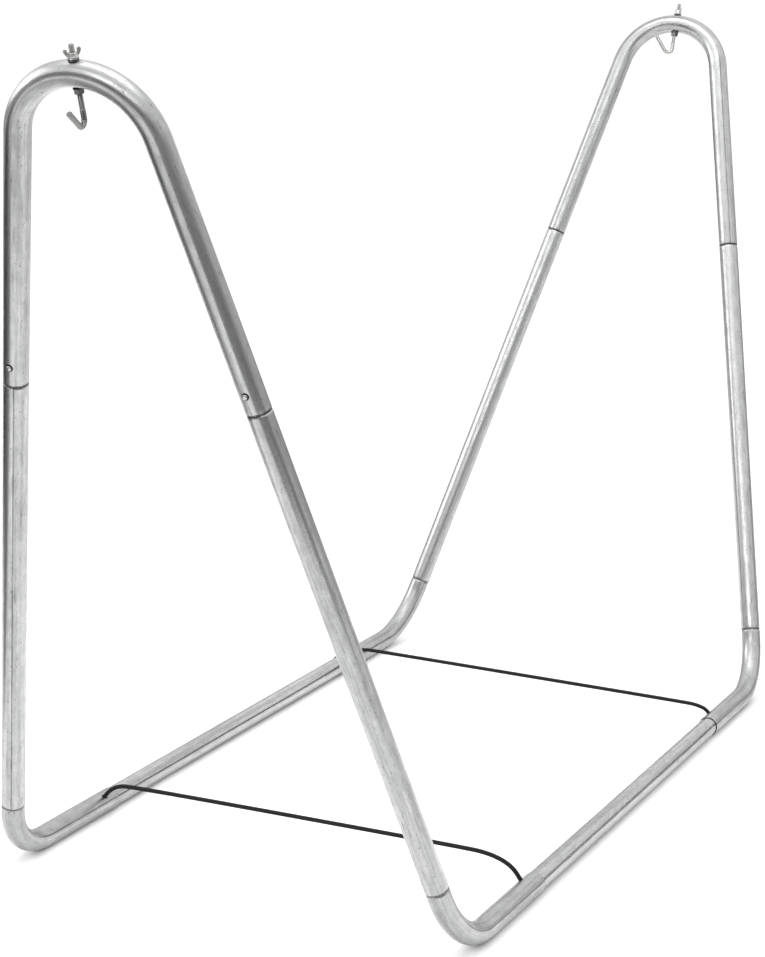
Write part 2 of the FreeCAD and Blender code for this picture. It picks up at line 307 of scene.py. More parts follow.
def darken_for_dirt_and_shade(n, tone, place, flecks, joints, holes, dirt_and_shade):
    """Darken a tube's tone at its joints and round its holes, which lie on its outer side: dirt with
    painted shade.
    """
    x, y, along = n.separate(place)
    # dirt flecks with painted shade in the groove at each joint
    for joint in joints:
        apart = n.math("ABSOLUTE", n.math("SUBTRACT", along, joint))
        near = n.remap(apart, *JOINT_DIRT_AND_SHADE, 1.0, 0.0)
        tone = n.darken(tone, n.times(near, n.remap(flecks, 0.36, 0.56, 0.6 * dirt_and_shade, dirt_and_shade)))
    for hole in holes:
        step = n.math("SUBTRACT", along, hole)
        apart = n.math("SQRT", n.math("ADD", n.times(step, step), n.times(y, y)))
        # painted shade, with dirt, in a ring round the hole's edge on the outer side
        ring = n.remap(apart, BUTTON_HOLE_R + HOLE_RING[0], BUTTON_HOLE_R + HOLE_RING[1], 0.8, 0.0)
        tone = n.darken(tone, n.times(ring, n.math("GREATER_THAN", x, 0.0)))
    return tone


def weld_line(n, place, seam, scuffs):
    """How much a narrow dull stripe darkens, where the section's point is nearest the seam's angle."""
    x, y = n.separate(place)[:2]
    aside = n.math("COSINE", n.math("SUBTRACT", n.math("ARCTAN2", y, x), math.radians(seam)))
    return n.times(n.remap(aside, *WELD_EDGE, 0.0, 1.0), n.remap(scuffs, 0.3, 0.6, 0.3, 0.55))


def galvanised(name, seed, brightness, roughness, seam, joints, holes=(), dirt_and_shade=0.8, scuffing=0.3):
    """Zinc-coated welded tube: streaks along it, mottling, pits, scuffs in patches and fine scratches.

    Joints and holes are given as distances along the tube, and the seam as the weld line's angle. The
    tone at the joints and round the holes is darkened by dirt with painted shade.
    """
    n = Nodes(name)
    place = n.tube_coordinates()
    shift = (seed * 3.1, seed * 1.7, seed * 5.3)
    other_shift = (shift[1], shift[2], shift[0])
    streaks = n.noise(n.scaled(place, (150, 150, 2.2), shift), detail=5, rough=0.65)
    bands = n.noise(n.scaled(place, (55, 55, 0.9), shift), detail=2)
    mottle = n.noise(n.scaled(place, (90, 90, 38), shift), detail=4, rough=0.7)
    spangle = n.cells(n.scaled(place, (230, 230, 120), shift))
    pits = n.noise(n.scaled(place, (430, 430, 190), shift), detail=2)
    scuffs = n.noise(n.scaled(place, (330, 330, 26), shift), detail=3, rough=0.6)
    patches = n.noise(n.scaled(place, (26, 26, 7), shift), detail=2)
    scratches = n.noise(n.scaled(place, (900, 900, 14), shift), detail=1)
    flecks = n.noise(n.scaled(place, (520, 520, 330), other_shift), detail=1)
    cross_marks = n.noise(n.scaled(place, (70, 70, 1500), shift), detail=1)
    worn = n.remap(patches, 0.44, 0.62, 0.0, 1.0)
    marks = n.times(n.remap(scuffs, 0.56, 0.70, 0.0, scuffing), worn)

    tone = n.remap(streaks, 0.3, 0.72, brightness * 0.8, brightness * 1.12)
    tone = n.times(tone, n.remap(bands, 0.3, 0.7, 0.9, 1.07))
    tone = n.times(tone, n.remap(mottle, 0.3, 0.7, 0.88, 1.09))
    tone = n.times(tone, n.remap(pits, 0.24, 0.36, 0.4, 1.0))
    tone = n.darken(tone, marks)
    tone = n.times(tone, n.remap(scratches, 0.68, 0.76, 1.0, 1.22))
    tone = n.times(tone, n.remap(flecks, 0.70, 0.78, 1.0, 1.5))
    # painted shade, with dirt, at the joints and round the holes
    tone = darken_for_dirt_and_shade(n, tone, place, flecks, joints, holes, dirt_and_shade)
    tone = n.darken(tone, weld_line(n, place, seam, scuffs))
    n.colour_to(n.grey(tone, (0.992, 0.998, 1.0)))

    rough = n.remap(streaks, 0.3, 0.7, roughness * 1.22, roughness * 0.86)
    rough = n.times(rough, n.remap(mottle, 0.3, 0.7, 1.14, 0.9))
    rough = n.math("ADD", rough, n.remap(pits, 0.24, 0.36, 0.2, 0.0))
    n.roughness_to(n.math("ADD", rough, n.times(marks, 0.25)))
    n.set("Metallic", 1.0)

    normal = n.bump(streaks, 0.00010)
    normal = n.bump(mottle, 0.00005, below=normal)
    normal = n.bump(pits, 0.00008, below=normal)
    normal = n.bump(scratches, 0.00003, below=normal)
    normal = n.bump(cross_marks, 0.000012, below=normal)
    normal = n.bump(spangle, 0.000012, below=normal)
    n.normal_to(normal)
    return n.material


def dark_metal_dirt_and_shade(name, darkest, lightest):
    """Near-black zinc: caked dirt with painted shade, for bores, cut edges, holes and the grooves at the
    joints.
    """
    n = Nodes(name)
    place = n.tube_coordinates()
    dirt_and_shade = n.noise(n.scaled(place, (380, 380, 380)), detail=4, rough=0.7)
    grit = n.noise(n.scaled(place, (1300, 1300, 1300)), detail=2)
    tone = n.remap(dirt_and_shade, 0.42, 0.66, darkest, lightest)
    tone = n.times(tone, n.remap(grit, 0.3, 0.6, 0.7, 1.1))
    n.colour_to(n.grey(tone, (1.0, 0.98, 0.95)))
    n.roughness_to(n.remap(dirt_and_shade, 0.42, 0.66, 0.85, 0.5))
    n.set("Metallic", 1.0)
    n.set("Specular Tint", (0.3, 0.3, 0.3, 1))
    n.normal_to(n.bump(grit, 0.00008, below=n.bump(dirt_and_shade, 0.0002)))
    return n.material


def zinc_plate(name, brightness, roughness):
    """Bright zinc plate on cast and turned hardware: cloudy, faintly pitted."""
    n = Nodes(name)
    place = n.object_coordinates()
    clouds = n.noise(n.scaled(place, (320, 320, 320)), detail=4, rough=0.6)
    grain = n.noise(n.scaled(place, (2400, 2400, 2400)), detail=2)
    tone = n.remap(clouds, 0.3, 0.7, brightness * 0.94, brightness * 1.04)
    tone = n.times(tone, n.remap(grain, 0.22, 0.4, 0.9, 1.0))
    n.colour_to(n.grey(tone, (1.0, 0.995, 0.98)))
    n.roughness_to(n.remap(clouds, 0.3, 0.7, roughness * 1.25, roughness * 0.8))
    n.set("Metallic", 1.0)
    n.normal_to(n.bump(grain, 0.00001, below=n.bump(clouds, 0.00002)))
    return n.material


def nickel(name):
    """Smooth bright plate with a slight haze."""
    n = Nodes(name)
    place = n.object_coordinates()
    haze = n.noise(n.scaled(place, (900, 900, 900)), detail=3)
    n.colour_to(n.grey(n.remap(haze, 0.3, 0.7, 0.42, 0.50)))
    n.roughness_to(n.remap(haze, 0.3, 0.7, 0.2, 0.1))
    n.set("Metallic", 1.0)
    n.normal_to(n.bump(haze, 0.00001))
    return n.material


def spring_steel(name):
    """Dark rolled strip."""
    n = Nodes(name)
    place = n.object_coordinates()
    rolled = n.noise(n.scaled(place, (1500, 1500, 90)), detail=3)
    n.colour_to(n.grey(n.remap(rolled, 0.3, 0.7, 0.24, 0.34), (0.96, 0.98, 1.0)))
    n.roughness_to(n.remap(rolled, 0.3, 0.7, 0.42, 0.3))
    n.set("Metallic", 1.0)
    n.normal_to(n.bump(rolled, 0.00002))
    return n.material


def crimp(name):
    """Dull soft metal of the cords' stops."""
    n = Nodes(name)
    place = n.object_coordinates()
    dull = n.noise(n.scaled(place, (700, 700, 700)), detail=4)
    n.colour_to(n.grey(n.remap(dull, 0.3, 0.7, 0.5, 0.64)))
    n.roughness_to(n.remap(dull, 0.3, 0.7, 0.55, 0.4))
    n.set("Metallic", 1.0)
    n.normal_to(n.bump(dull, 0.00005))
    return n.material


def braided_black(name):
    """Black braided cover: two sets of strands that cross, with a faint sheen on their crowns."""
    n = Nodes(name)
    place = n.tube_coordinates()
    strands = 10
    twist = 2150.0              # radians a metre
    x, y, along = n.separate(place)
    turned = n.times(n.math("ARCTAN2", y, x), strands)
    advanced = n.times(along, twist)
    one_way = n.math("SINE", n.math("ADD", turned, advanced))
    other_way = n.math("SINE", n.math("SUBTRACT", turned, advanced))
    weave = n.math("MAXIMUM", one_way, other_way)
    fuzz = n.noise(n.scaled(place, (1800, 1800, 700)), detail=3)
    tone = n.remap(weave, 0.1, 1.0, 0.004, 0.012)
    tone = n.times(tone, n.remap(fuzz, 0.3, 0.7, 0.7, 1.3))
    n.colour_to(n.grey(tone))
    n.roughness_to(n.remap(weave, 0.1, 1.0, 0.72, 0.46))
    n.set("Specular IOR Level", 0.2)
    n.set("Sheen Weight", 0.02)
    n.set("Sheen Roughness", 0.4)
    n.normal_to(n.bump(fuzz, 0.00006, below=n.bump(weave, 0.00022)))
    return n.material


def pale_floor(name):
    """Nearly white, matt and faintly uneven."""
    n = Nodes(name)
    place = n.object_coordinates()
    haze = n.noise(n.scaled(place, (1.1, 1.1, 1.1)), detail=2)
    n.colour_to(n.grey(n.remap(haze, 0.3, 0.7, 0.90, 0.92)))
    n.set("Roughness", 1.0)
    n.set("Specular IOR Level", 0.0)
    return n.material


def felt(name, brightness):
    """Plain matt colour of the dark cards."""
    n = Nodes(name)
    n.set("Base Color", (brightness, brightness, brightness, 1))
    n.set("Roughness", 1.0)
    n.set("Specular IOR Level", 0.0)
    return n.material


# Near-black metal of bores, cut ends and hole walls: dirt with painted shade in these recesses
GRIME_AND_SHADE = dark_metal_dirt_and_shade("dark_metal_dirt_and_shade", 0.015, 0.07)
# Darker metal of the swaged shoulders and spigots: dirt with painted shade in the joints' grooves
DULL_AND_SHADED = dark_metal_dirt_and_shade("dull_shaded_metal", 0.09, 0.26)
WORN_AND_SHADED = dark_metal_dirt_and_shade("worn_shaded_metal", 0.22, 0.42)
# The front hook's plate is darker than the rear's: painted shade.
HOOK_ZINC_SHADED_FRONT = {"front": zinc_plate("front_hook_zinc_plate_painted_shade", 0.24, 0.28),
             "rear": zinc_plate("rear_hook_zinc_plate", 0.5, 0.28)}
CAST_ZINC = zinc_plate("cast_zinc_plate", 0.52, 0.42)
# Washers and hex nuts: dull plate made darker still, partly painted shade
DARK_ZINC_AND_SHADE = zinc_plate("dull_zinc_plate_and_shade", 0.17, 0.34)
NICKEL = nickel("nickel_plate")
SPRING = spring_steel("spring_steel")
CRIMP = crimp("crimped_sleeve")
BLACK = braided_black("black_braid")


# ---------------------------------------------------------------- mesh helpers

def add(name, data):
    """New object in the scene that holds some data."""
    thing = bpy.data.objects.new(name, data)
    bpy.context.scene.collection.objects.link(thing)
    return thing


def shade(mesh, angle=SHARP):
    """Smooth shading, with the edges over an angle kept sharp."""
    mesh.polygons.foreach_set("use_smooth", [True] * len(mesh.polygons))
    mesh.set_sharp_from_angle(angle=angle)


def new_object(name, mesh, material, smooth=SHARP):
    thing = add(name, mesh)
    if not mesh.materials:
        mesh.materials.append(material)
    if smooth:
        shade(mesh, smooth)
    return thing


def rim_point(middle, first, second, radius, angle):
    """Point at a radius and an angle round a middle, in the plane of two unit vectors."""
    return middle + first * (radius * math.cos(angle)) + second * (radius * math.sin(angle))


def skin(shape, rings):
    """Faces between each ring of points and the next."""
    for low, high in zip(rings, rings[1:]):
        count = len(low)
        for k in range(count):
            nxt = (k + 1) % count
            shape.faces.new((low[k], low[nxt], high[nxt], high[k]))


def outward_mesh(name, shape, materials=()):
    """Mesh of a finished bmesh, with its faces turned outwards."""
    bmesh.ops.recalc_face_normals(shape, faces=shape.faces)
    mesh = bpy.data.meshes.new(name)
    for material in materials:
        mesh.materials.append(material)
    shape.to_mesh(mesh)
    shape.free()
    return mesh


def apply_modifiers(thing):
    """Freeze a piece's modifiers into its mesh."""
    graph = bpy.context.evaluated_depsgraph_get()
    solid = bpy.data.meshes.new_from_object(thing.evaluated_get(graph))
    thing.modifiers.clear()
    old = thing.data
    thing.data = solid
    bpy.data.meshes.remove(old)


def cut(thing, cutters, operation="DIFFERENCE"):
    """Exact boolean of a piece with some cutter pieces, which are then removed."""
    for cutter in cutters:
        modifier = thing.modifiers.new("cut", "BOOLEAN")
        modifier.operation = operation
        modifier.solver = "EXACT"
        modifier.object = cutter
        apply_modifiers(thing)
        bpy.data.objects.remove(cutter)


def across(direction):
    """Any unit vector square to a direction."""
    pick = Vector((0, 0, 1)) if abs(direction.z) < 0.8 else Vector((1, 0, 0))
    return direction.cross(pick).normalized()


def lathe(name, origin, axis, profile):
    """Closed turned solid: profile is (distance along the axis, radius), and 0 radius closes an end."""
    sides = TURNED_SIDES
    first = across(axis)
    second = axis.cross(first)
    shape = bmesh.new()
    rings = []
    for along, radius in profile:
        middle = origin + axis * along
        if radius == 0:
            rings.append([shape.verts.new(middle)])
            continue
        rings.append([shape.verts.new(rim_point(middle, first, second, radius, 2 * math.pi * k / sides))
                      for k in range(sides)])
    if profile[0][1] and profile[-1][1]:
        rings.append(rings[0])
    for low, high in zip(rings, rings[1:]):
        for k in range(sides):
            nxt = (k + 1) % sides
            loop = [low[k % len(low)], low[nxt % len(low)], high[nxt % len(high)], high[k % len(high)]]
            corners = [v for i, v in enumerate(loop) if v not in loop[:i]]
            if len(corners) > 2:
                shape.faces.new(corners)
    return outward_mesh(name, shape)


def cutter_bar(start, finish, radius):
    """Plain bar used only to cut a hole."""
    run = finish - start
    profile = [(0, 0), (0, radius), (run.length, radius), (run.length, 0)]
    return add("cutter", lathe("cutter", start, run.normalized(), profile))


# Part of a route. Its centre is None where it is straight.
Stretch = namedtuple("Stretch", "begin run start direction centre")


class Route:
    """Straight runs joined by tangent arcs, all in one plane whose normal is given."""

    def __init__(self, points, bend_radii, normal):
        self.normal = normal.normalized()
        self.parts = []
        start = points[0]
        distance = 0.0
        for index, radius in enumerate(bend_radii, 1):
            here = points[index]
            back = (points[index - 1] - here).normalized()
            ahead = (points[index + 1] - here).normalized()
            half = back.angle(ahead) / 2
            reach = radius / math.tan(half)
            enter = here + back * reach
            run = (enter - start).length
            self.parts.append(Stretch(distance, run, start, -back, None))
            distance += run
            centre = here + (back + ahead).normalized() * (radius / math.sin(half))
            turn = math.pi - 2 * half
            self.parts.append(Stretch(distance, turn * radius, enter, -back, centre))
            distance += turn * radius
            start = here + ahead * reach
        run = (points[-1] - start).length
        self.parts.append(Stretch(distance, run, start, (points[-1] - start).normalized(), None))
        self.length = distance + run

    def at(self, distance):
        """Centre and direction at a distance, and how near a bend's middle it is, from 0 to 1."""
        reached = (part for part in self.parts if distance <= part.begin + part.run + TINY)
        part = next(reached, self.parts[-1])
        gone = distance - part.begin
        if part.centre is None:
            return part.start + part.direction * gone, part.direction, 0.0
        spoke = part.start - part.centre
        sense = 1 if spoke.cross(part.direction).dot(self.normal) > 0 else -1
        turn = Matrix.Rotation(sense * gone / spoke.length, 3, self.normal)
        middle = math.sin(math.pi * gone / part.run)
        return part.centre + turn @ spoke, turn @ part.direction, middle

    def bends(self):
        return [(part.begin, part.begin + part.run) for part in self.parts if part.centre is not None]


def fill(stops, step):
    """Distances with every stop among them and no gap over the step."""
    marks = []
    for low, high in zip(stops, stops[1:]):
        count = max(1, math.ceil((high - low) / step))
        marks += [low + (high - low) * k / count for k in range(count)]
    return marks + [stops[-1]]


def between(profile, distance):
    """Radii at a distance, from a list of (distance, outer, inner)."""
    for low, high in zip(profile, profile[1:]):
        if distance <= high[0] + TINY:
            share = (distance - low[0]) / max(high[0] - low[0], TINY)
            share = min(max(share, 0), 1)
            return [low[k] + (high[k] - low[k]) * share for k in (1, 2)]
    return list(profile[-1][1:])


def rounded_end(start, sense, outer, inner):
    """Profile stops that round a tube end's outer edge. Sense is 1 at the start, -1 at the far end."""
    round_r = 0.0004
    steps = 4
    stops = []
    for k in range(steps + 1):
        angle = math.pi / 2 * k / steps
        inward = round_r * (1 - math.cos(angle))
        stops.append((start + sense * inward, outer - round_r * (1 - math.sin(angle)), inner))
    return stops


def both_ends_rounded(length, outer):
    inner = outer - WALL
    return rounded_end(0, 1, outer, inner) + rounded_end(length, -1, outer, inner)[::-1]


def one_end_stepped_down(start):
    """Profile stops of a tube with a swaged end: rounded end, shoulder, and spigot with an eased tip."""
    bore = TUBE_R - WALL
    small = SPIGOT_R - WALL
    stops = rounded_end(0, 1, TUBE_R, bore)
    stops.append((start - 0.006, TUBE_R, bore))
    steps = 8
    for k in range(steps + 1):
        share = k / steps
        drop = (1 - math.cos(math.pi * share)) / 2
        radius = TUBE_R + (SPIGOT_R - TUBE_R) * drop ** 1.4
        stops.append((start + SHOULDER * share, radius, bore + (small - bore) * min(1, 0.6 + share)))
    tip = start + SHOULDER + SPIGOT_LENGTH
    stops.append((tip - 0.002, SPIGOT_R, small))
    stops.append((tip, SPIGOT_R - 0.0005, small))
    return stops


def dented(radius, angle, distance, seed):
    """A tube's outer radius less a faint unevenness, broad and fine."""
    spot = Vector((math.cos(angle) * 25, math.sin(angle) * 25, distance * 14 + seed * 7))
    broad = 0.5 + 0.5 * noise.noise(spot)
    fine = 0.4 * abs(noise.noise(spot * 2.3))
    return radius - WOBBLE * (broad + fine)


def tube(name, route, profile, material, flatten=0.0, seed=0, undarkened_to=None, spigot=None):
    """Tube along a route: bore and cut ends in near-black metal, dirt with painted shade, and the
    spigot's darker metal, dirt with painted shade, past the undarkened length.
    """
    stops = sorted({stop[0] for stop in profile} | {b for pair in route.bends() for b in pair})
    marks = fill(stops, TUBE_STEP)
    shape = bmesh.new()
    rings = []
    walls = []
    for distance in marks:
        centre, direction, middle = route.at(distance)
        outer, inner = between(profile, distance)
        first = route.normal
        second = direction.cross(first)
        row = []
        for k in range(AROUND):
            angle = 2 * math.pi * k / AROUND
            squeeze = 1 - flatten * middle * abs(math.sin(angle)) ** 2
            reach = dented(outer, angle, distance, seed) * squeeze
            row.append((rim_point(centre, first, second, reach, angle),
                        rim_point(centre, first, second, inner * squeeze, angle)))
        rings.append([shape.verts.new(point[0]) for point in row])
        walls.append([shape.verts.new(point[1]) for point in row])
    pairs = [(low, high, OUTSIDE if undarkened_to is None or distance < undarkened_to else SWAGED)
             for distance, low, high in zip(marks, rings, rings[1:])]
    # bore and cut ends take the near-black metal: dirt with painted shade
    pairs += [(high, low, GRIMY_AND_SHADED) for low, high in zip(walls, walls[1:])]
    pairs += [(walls[0], rings[0], GRIMY_AND_SHADED), (rings[-1], walls[-1], GRIMY_AND_SHADED)]
    for low, high, slot in pairs:
        for k in range(AROUND):
            nxt = (k + 1) % AROUND
            shape.faces.new((low[k], low[nxt], high[nxt], high[k])).material_index = slot
    mesh = outward_mesh(name, shape, (material, GRIME_AND_SHADE, spigot or DULL_AND_SHADED))
    return new_object(name, mesh, material)


def drill(thing, start, direction, radius):
    """Cut a hole out from a tube's axis through one wall, and give its wall the near-black metal: dirt
    with painted shade.
    """
    cut(thing, [cutter_bar(start, start + direction * DRILL, radius)])
    for face in thing.data.polygons:
        offset = face.center - start
        ahead = offset.dot(direction)
        if ahead > 0 and (offset - direction * ahead).length < radius + HOLE_RIM:
            face.material_index = GRIMY_AND_SHADED


def store_straightened(mesh, values):
    attribute = mesh.attributes.new("straightened", "FLOAT_VECTOR", "POINT")
    attribute.data.foreach_set("vector", values)


def straighten(thing, route):
    """Store each point's place in its tube, as if the tube were straightened, for the materials."""
    step = 0.002
    count = max(2, math.ceil(route.length / step))
    tree = kdtree.KDTree(count + 1)
    samples = []
    for k in range(count + 1):
        distance = route.length * k / count
        centre, direction = route.at(distance)[:2]
        samples.append((distance, centre, direction))
        tree.insert(centre, k)
    tree.balance()
    values = []
    for vertex in thing.data.vertices:
        distance, centre, direction = samples[tree.find(vertex.co)[1]]
        offset = vertex.co - centre
        ahead = offset.dot(direction)
        radial = offset - direction * ahead
        second = direction.cross(route.normal)
        values += [radial.dot(route.normal), radial.dot(second), distance + ahead]
    store_straightened(thing.data, values)


# ---------------------------------------------------------------- tie cords

def spline_points(points):
    """Points along the smooth line of one open NURBS spline with the given control points."""
    data = bpy.data.curves.new("line", "CURVE")
    data.dimensions = "3D"
    data.resolution_u = 24      # points to each span of the spline
    spline = data.splines.new("NURBS")
    spline.points.add(len(points) - 1)
    for place, point in zip(spline.points, points):
        place.co = (*point, 1)
    spline.order_u = 3
    spline.use_endpoint_u = True
    line = bpy.data.objects.new("line", data)
    mesh = bpy.data.meshes.new_from_object(line)
    path = [vertex.co.copy() for vertex in mesh.vertices]
    bpy.data.objects.remove(line)
    bpy.data.meshes.remove(mesh)
    return path


def round_cord(name, path, radius, material):
    """Round cord along a path, with each point's place in the straightened cord stored on it."""
    shape = bmesh.new()
    rings = []
    straight = []
    first = Vector((1, 0, 0))
    distance = 0.0
    for index, here in enumerate(path):
        before = path[max(index - 1, 0)]
        after = path[min(index + 1, len(path) - 1)]
        direction = (after - before).normalized()
        second = direction.cross(first).normalized()
        distance += (here - before).length
        row = []
        for k in range(CORD_SIDES):
            angle = 2 * math.pi * k / CORD_SIDES
            row.append(shape.verts.new(rim_point(here, first, second, radius, angle)))
            straight += [radius * math.cos(angle), radius * math.sin(angle), distance]
        rings.append(row)
    skin(shape, rings)
    shape.faces.new(rings[0])
    shape.faces.new(rings[-1])
    mesh = outward_mesh(name, shape)
    store_straightened(mesh, straight)
    return new_object(name, mesh, material)


def tie_cord(end, route):
    """Cord from one corner bend's hole to the other's. Its route is (y, z) from left to right."""
    x = ENDS[end] * CORD_HOLE_X
    tips = []
    for side in SIDES:
        start, direction = cord_hole(end, side)
        tips.append(start + direction * CORD_END)
    path = spline_points([tips[0], *(Vector((x, y, z)) for y, z in route), tips[1]])
    cord = round_cord(end + "_cord", path, CORD_R, BLACK)
    hole, direction = cord_hole(end, "left")
    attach(cord, end + "_frame")
    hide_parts(end + "_tie_cord")


tie_cord("front", FRONT_ROUTE)
tie_cord("rear", REAR_ROUTE)


# ---------------------------------------------------------------- tubes

def arch(end):
    """The bent top tube, with holes for the hook's screw and the two buttons."""
    start = on_leg(end, "left", UPPER_JOINT + JOINT_GAP)
    finish = on_leg(end, "right", UPPER_JOINT + JOINT_GAP)
    peak = base(end) + up(end) * (RAIL_SPACING / 2 / math.tan(SPLAY))
    route = Route([start, peak, finish], [TOP_BEND_R], out(end))
    button_height = BUTTON_STATION - UPPER_JOINT - JOINT_GAP
    seed = ENDS[end] + 2
    metal = galvanised(end + "_arch_metal", seed, brightness=ARCH_BRIGHTNESS[end], roughness=0.32,
                       seam=ARCH_SEAM, joints=(0, route.length),
                       holes=(button_height, route.length - button_height))
    profile = both_ends_rounded(route.length, TUBE_R)
    thing = tube(end + "_arch_tube", route, profile, metal, flatten=0.018, seed=seed)
    cut(thing, [cutter_bar(on_screw(end, -DRILL), on_screw(end, DRILL), SCREW_HOLE_R)])
    for side in SIDES:
        drill(thing, on_leg(end, side, BUTTON_STATION), out(end), BUTTON_HOLE_R)
    shade(thing.data)
    straighten(thing, route)
    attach(thing, end + "_frame")
    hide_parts(end + "_arch")


def leg(end, side):
    """Straight tube whose swaged top fits in the arch."""
    start = on_leg(end, side, LOWER_JOINT + JOINT_GAP)
    length = UPPER_JOINT + SPIGOT_LENGTH - LOWER_JOINT - JOINT_GAP
    finish = start + leg_direction(end, side) * length
    route = Route([start, finish], [], out(end))
    shoulder = UPPER_JOINT - SHOULDER - LOWER_JOINT - JOINT_GAP
    profile = one_end_stepped_down(shoulder)
    seed = 5 * ENDS[end] + SIDES[side]
    metal = galvanised(f"{end}_{side}_leg_metal", seed, brightness=0.50, roughness=0.30,
                       seam=LEG_SEAM[side], joints=(0,), scuffing=0.4)
    thing = tube(f"{end}_{side}_leg_tube", route, profile, metal, seed=seed,
                 undarkened_to=shoulder + UNDARKENED_SHOULDER)
    drill(thing, on_leg(end, side, BUTTON_STATION), out(end), BUTTON_HOLE_R)
    shade(thing.data)
    straighten(thing, route)
    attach(thing, end + "_frame")
    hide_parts(f"{end}_{side}_leg")


def corner_bend(end, side):
    """Bent tube whose swaged top fits in the leg, with a hole for the tie cord."""
    here = corner(end, side)
    mouth = Vector((ENDS[end] * RAIL_JOINT_X, here.y, here.z))
    direction = leg_direction(end, side)
    finish = here + direction * (LOWER_JOINT + SPIGOT_LENGTH)
    normal = (here - mouth).cross(direction)
    route = Route([mouth, here, finish], [CORNER_BEND_R], normal)
    shoulder = route.length - SPIGOT_LENGTH - SHOULDER
    profile = one_end_stepped_down(shoulder)
    seed = 9 * ENDS[end] + SIDES[side]
    metal = galvanised(f"{end}_{side}_corner_metal", seed, brightness=0.45, roughness=0.33,
                       seam=CORNER_SEAM[end][side], joints=(0,), dirt_and_shade=0.35, scuffing=0.12)
    thing = tube(f"{end}_{side}_corner_tube", route, profile, metal, flatten=0.02, seed=seed,
                 undarkened_to=shoulder + UNDARKENED_SHOULDER, spigot=WORN_AND_SHADED)
    drill(thing, *cord_hole(end, side), CORD_HOLE_R)
    shade(thing.data)
    straighten(thing, route)
    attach(thing, end + "_frame")
    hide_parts(f"{end}_{side}_corner_bend")


def rail(side):
    """Straight floor tube whose ends slide into the corner bends."""
    y = SIDES[side] * RAIL_SPACING / 2
    start = Vector((-RAIL_END_X, y, AXIS_Z))
    finish = Vector((RAIL_END_X, y, AXIS_Z))
    route = Route([start, finish], [], Vector((0, 1, 0)))
    covered = RAIL_END_X - RAIL_JOINT_X
    seed = 17 + SIDES[side]
    metal = galvanised(side + "_rail_metal", seed, brightness=0.50, roughness=0.22,
                       seam=RAIL_SEAM, joints=(covered, route.length - covered), dirt_and_shade=0.4, scuffing=0.2)
    thing = tube(side + "_rail_tube", route, both_ends_rounded(route.length, RAIL_R), metal, seed=seed)
    straighten(thing, route)
    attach(thing, "floor_rails")
    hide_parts(side + "_rail")


# ---------------------------------------------------------------- buttons

def button(end, side):
    """Domed spring button with a wider head inside the leg."""
    dome = 0.0016
    head_top = BUTTON_SEAT + 0.001
    eased = 0.0002
    profile = [(BUTTON_SEAT, 0), (BUTTON_SEAT, BUTTON_HEAD_R - eased),
               (BUTTON_SEAT + eased, BUTTON_HEAD_R), (head_top - 0.0001, BUTTON_HEAD_R),
               (head_top, BUTTON_R + 0.0001)]
    steps = 8
    for k in range(steps):
        angle = math.pi / 2 * k / steps
        profile.append((BUTTON_TOP - dome + dome * math.sin(angle), BUTTON_R * math.cos(angle) ** 0.75))
    profile.append((BUTTON_TOP, 0))
    mesh = lathe("button", on_leg(end, side, BUTTON_STATION), out(end), profile)
    thing = new_object(f"{end}_{side}_button_pin", mesh, NICKEL)
    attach(thing, f"{end}_{side}_button")
    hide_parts(f"{end}_{side}_button")


# ---------------------------------------------------------------- screw, hook and nuts

def screw_and_hook(end):
    """Threaded screw whose plain lower end is bent to an open hook."""
    turn = HOOK_TURN[end]
    reach = Vector((0, 1, 0)) * math.cos(turn) + out(end) * math.sin(turn)
    drop = SCREW_DROP[end]
    points = [on_screw(end, SCREW_TOP + drop), on_screw(end, HOOK_CORNER + drop),
              on_screw(end, HOOK_TIP + drop) + reach * HOOK_REACH]
    route = Route(points, [HOOK_BEND_R], up(end).cross(reach))
    sides = 32
    chamfer = 0.0007
    tip_share = 0.84            # radius left at a chamfered end
    run_out = 2.5 * PITCH
    thread_length = THREAD_END - SCREW_TOP
    marks = fill([0, chamfer, thread_length], PITCH / 8)
    marks += fill([thread_length, route.length - chamfer, route.length], 0.0015)[1:]
    shape = bmesh.new()
    rings = []
    for distance in marks:
        centre, direction = route.at(distance)[:2]
        second = direction.cross(route.normal)
        end_ease = min(1, distance / chamfer, (route.length - distance) / chamfer)
        fade = min(1, max(0, (thread_length - distance) / run_out))
        row = []
        for k in range(sides):
            phase = (distance / PITCH - k / sides) % 1
            groove = THREAD_DEPTH * fade * (1 - abs(2 * phase - 1)) ** 0.8
            radius = (SCREW_R - groove) * (tip_share + (1 - tip_share) * end_ease)
            point = rim_point(centre, route.normal, second, radius, 2 * math.pi * k / sides)
            row.append(shape.verts.new(point))
        rings.append(row)
    skin(shape, rings)
    shape.faces.new(rings[0][::-1])
    shape.faces.new(rings[-1])
    mesh = outward_mesh(end + "_hook_screw", shape)
    thing = new_object(end + "_hook_screw", mesh, HOOK_ZINC_SHADED_FRONT[end], smooth=math.radians(40))
    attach(thing, end + "_hook")
    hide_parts(end + "_hook")


def stamped_washer(end, which, top, body):
    """Flat washer with one rounded and one sharp edge, as a press leaves it."""
    eased = 0.0004
    profile = [(0, SCREW_HOLE_R), (0, WASHER_R - eased), (-eased * 0.3, WASHER_R - eased * 0.3),
               (-eased, WASHER_R), (-WASHER_THICKNESS, WASHER_R),
               (-WASHER_THICKNESS, SCREW_HOLE_R + eased), (eased - WASHER_THICKNESS, SCREW_HOLE_R)]
    mesh = lathe(which, on_screw(end, top), up(end), profile)
    thing = new_object(f"{end}_{which}_disc", mesh, DARK_ZINC_AND_SHADE)
    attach(thing, body)
    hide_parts(f"{end}_{which}")


